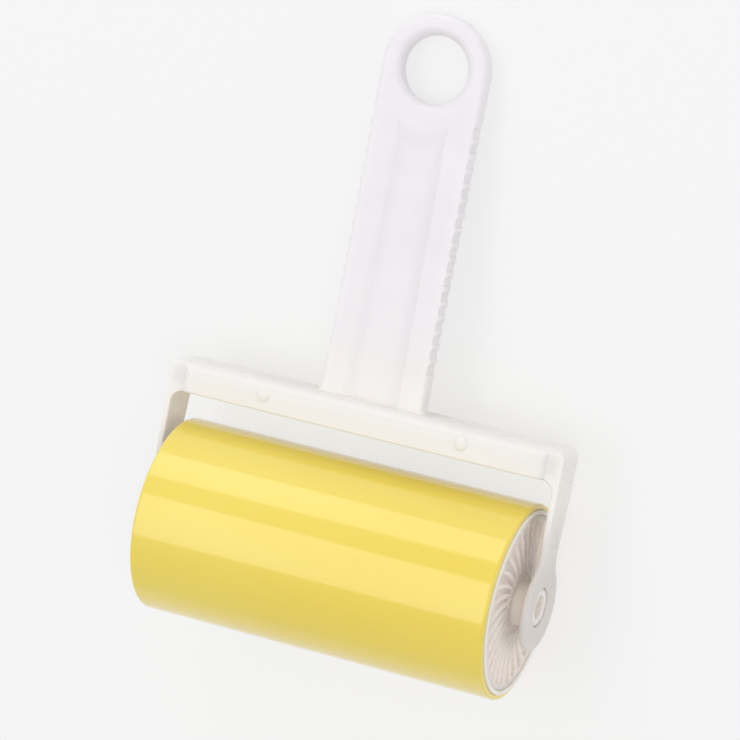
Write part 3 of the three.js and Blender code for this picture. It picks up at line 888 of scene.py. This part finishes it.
def table():
    """The pale table the roller lies on, which keeps its shadow."""
    bm = bmesh.new()
    bmesh.ops.create_grid(bm, x_segments=1, y_segments=1, size=TABLE_HALF_SIZE)
    obj = tool(bm, "table_top")
    recipe = Recipe("pale_table")
    veil = recipe.levels(recipe.noise(scale=3.0, detail=2.0), 0.3, 0.7, 0.0, 1.0)
    colour = recipe.mix(veil, tone(249, 249, 249), tone(251, 251, 251))
    matt = {"Base Color": colour, "Roughness": 0.9, "Specular IOR Level": 0.1}
    top = recipe.add("ShaderNodeBsdfPrincipled", {}, matt)
    glow = recipe.add("ShaderNodeEmission", {}, {"Color": tone(246, 246, 246), "Strength": 1.0})
    kinds = ("Is Camera Ray", "Is Glossy Ray", "Is Transmission Ray")
    rays = [recipe.add("ShaderNodeLightPath", output=kind) for kind in kinds]
    seen = (rays[0] + rays[1] + rays[2]) * TABLE_GLOW
    recipe.add_output(recipe.add("ShaderNodeMixShader", {}, {0: seen, 1: top, 2: glow}))
    obj.data.materials.append(recipe.material)
    return obj


def soft_lamp(name, place, towards, width, height, power):
    """A square-cut lamp, as wide as given along the drum and as high as given across it."""
    light = bpy.data.lights.new(name, "AREA")
    light.shape = "RECTANGLE"
    light.size = width
    light.size_y = height
    light.energy = power
    obj = bpy.data.objects.new(name, light)
    bpy.context.scene.collection.objects.link(obj)
    back = (Vector(place) - Vector(towards)).normalized()
    across = back.cross(Vector((1.0, 0.0, 0.0))).normalized()
    turn = Matrix((across.cross(back), across, back)).transposed().to_4x4()
    obj.matrix_world = Matrix.Translation(place) @ turn
    obj.visible_camera = False
    return obj


def room(strength):
    """The even white light of the studio's walls."""
    world = bpy.data.worlds.new("studio_room")
    world.use_nodes = True
    background = world.node_tree.nodes["Background"]
    background.inputs["Color"].default_value = (1.0, 1.0, 1.0, 1.0)
    background.inputs["Strength"].default_value = strength
    bpy.context.scene.world = world


def camera():
    """The photograph's viewpoint, from the front and a little right of and above the handle."""
    turn = Matrix((CAMERA_RIGHT, CAMERA_UP, -CAMERA_LOOK)).transposed().to_4x4()
    middle_x, middle_y = PHOTO_MIDDLE
    data = bpy.data.cameras.new("photo_view")
    data.sensor_width = SENSOR_WIDTH
    data.lens = FOCAL_PIXELS / PHOTO_PIXELS * SENSOR_WIDTH
    data.shift_x = (PHOTO_PIXELS / 2.0 - middle_x) / PHOTO_PIXELS
    data.shift_y = (middle_y - PHOTO_PIXELS / 2.0) / PHOTO_PIXELS
    data.clip_start = 0.05
    obj = bpy.data.objects.new("photo_view", data)
    bpy.context.scene.collection.objects.link(obj)
    obj.matrix_world = Matrix.Translation(LYING @ CAMERA_PLACE) @ Matrix.Rotation(-TILT, 4, "X") @ turn
    bpy.context.scene.camera = obj
    return obj


# The handle's frame goes warmer near the crossbar, which is painted bounce light from the yellow drum, and darker
# grey lower down, on the ears
handle_white = moulded_white(
    "moulded_handle_white", tone(239, 236, 240), tone(236, 233, 237),
    roughness=0.36, glow_through=0.5, scale=0.003, colours=(1.0, 0.95, 0.9),
    painted_bounce_and_grey_down_the_frame=[(-0.018, 0.002, tone(242, 238, 234)), (-0.052, -0.031, tone(217, 212, 208))],
)
drum_white = moulded_white(
    "moulded_drum_white", tone(249, 244, 234), tone(247, 240, 229),
    roughness=0.4, glow_through=0.3, scale=0.003, colours=(1.0, 0.8, 0.65),
)
# Paler round the hub: painted light that lifts the shade under the ear
cap_cream = moulded_white(
    "moulded_cap_cream", tone(250, 235, 224), tone(247, 231, 219),
    roughness=0.45, glow_through=0.8, scale=0.004, colours=(1.0, 0.95, 0.9),
    painted_light_round_the_hub=[(0.008, 0.019, tone(255, 243, 233))],
)
handle_moulding(handle_white)
drum_tube(drum_white)
gel_sleeve(sticky_gel())
cap("cap_right", "end_cap_right", cap_cream, turned_round=False)
cap("cap_left", "end_cap_left", cap_cream, turned_round=True)

table()
camera()
room(ROOM_LIGHT)
for lamp in LAMPS:
    soft_lamp(*lamp)
bpy.context.scene.view_settings.view_transform = "Standard"
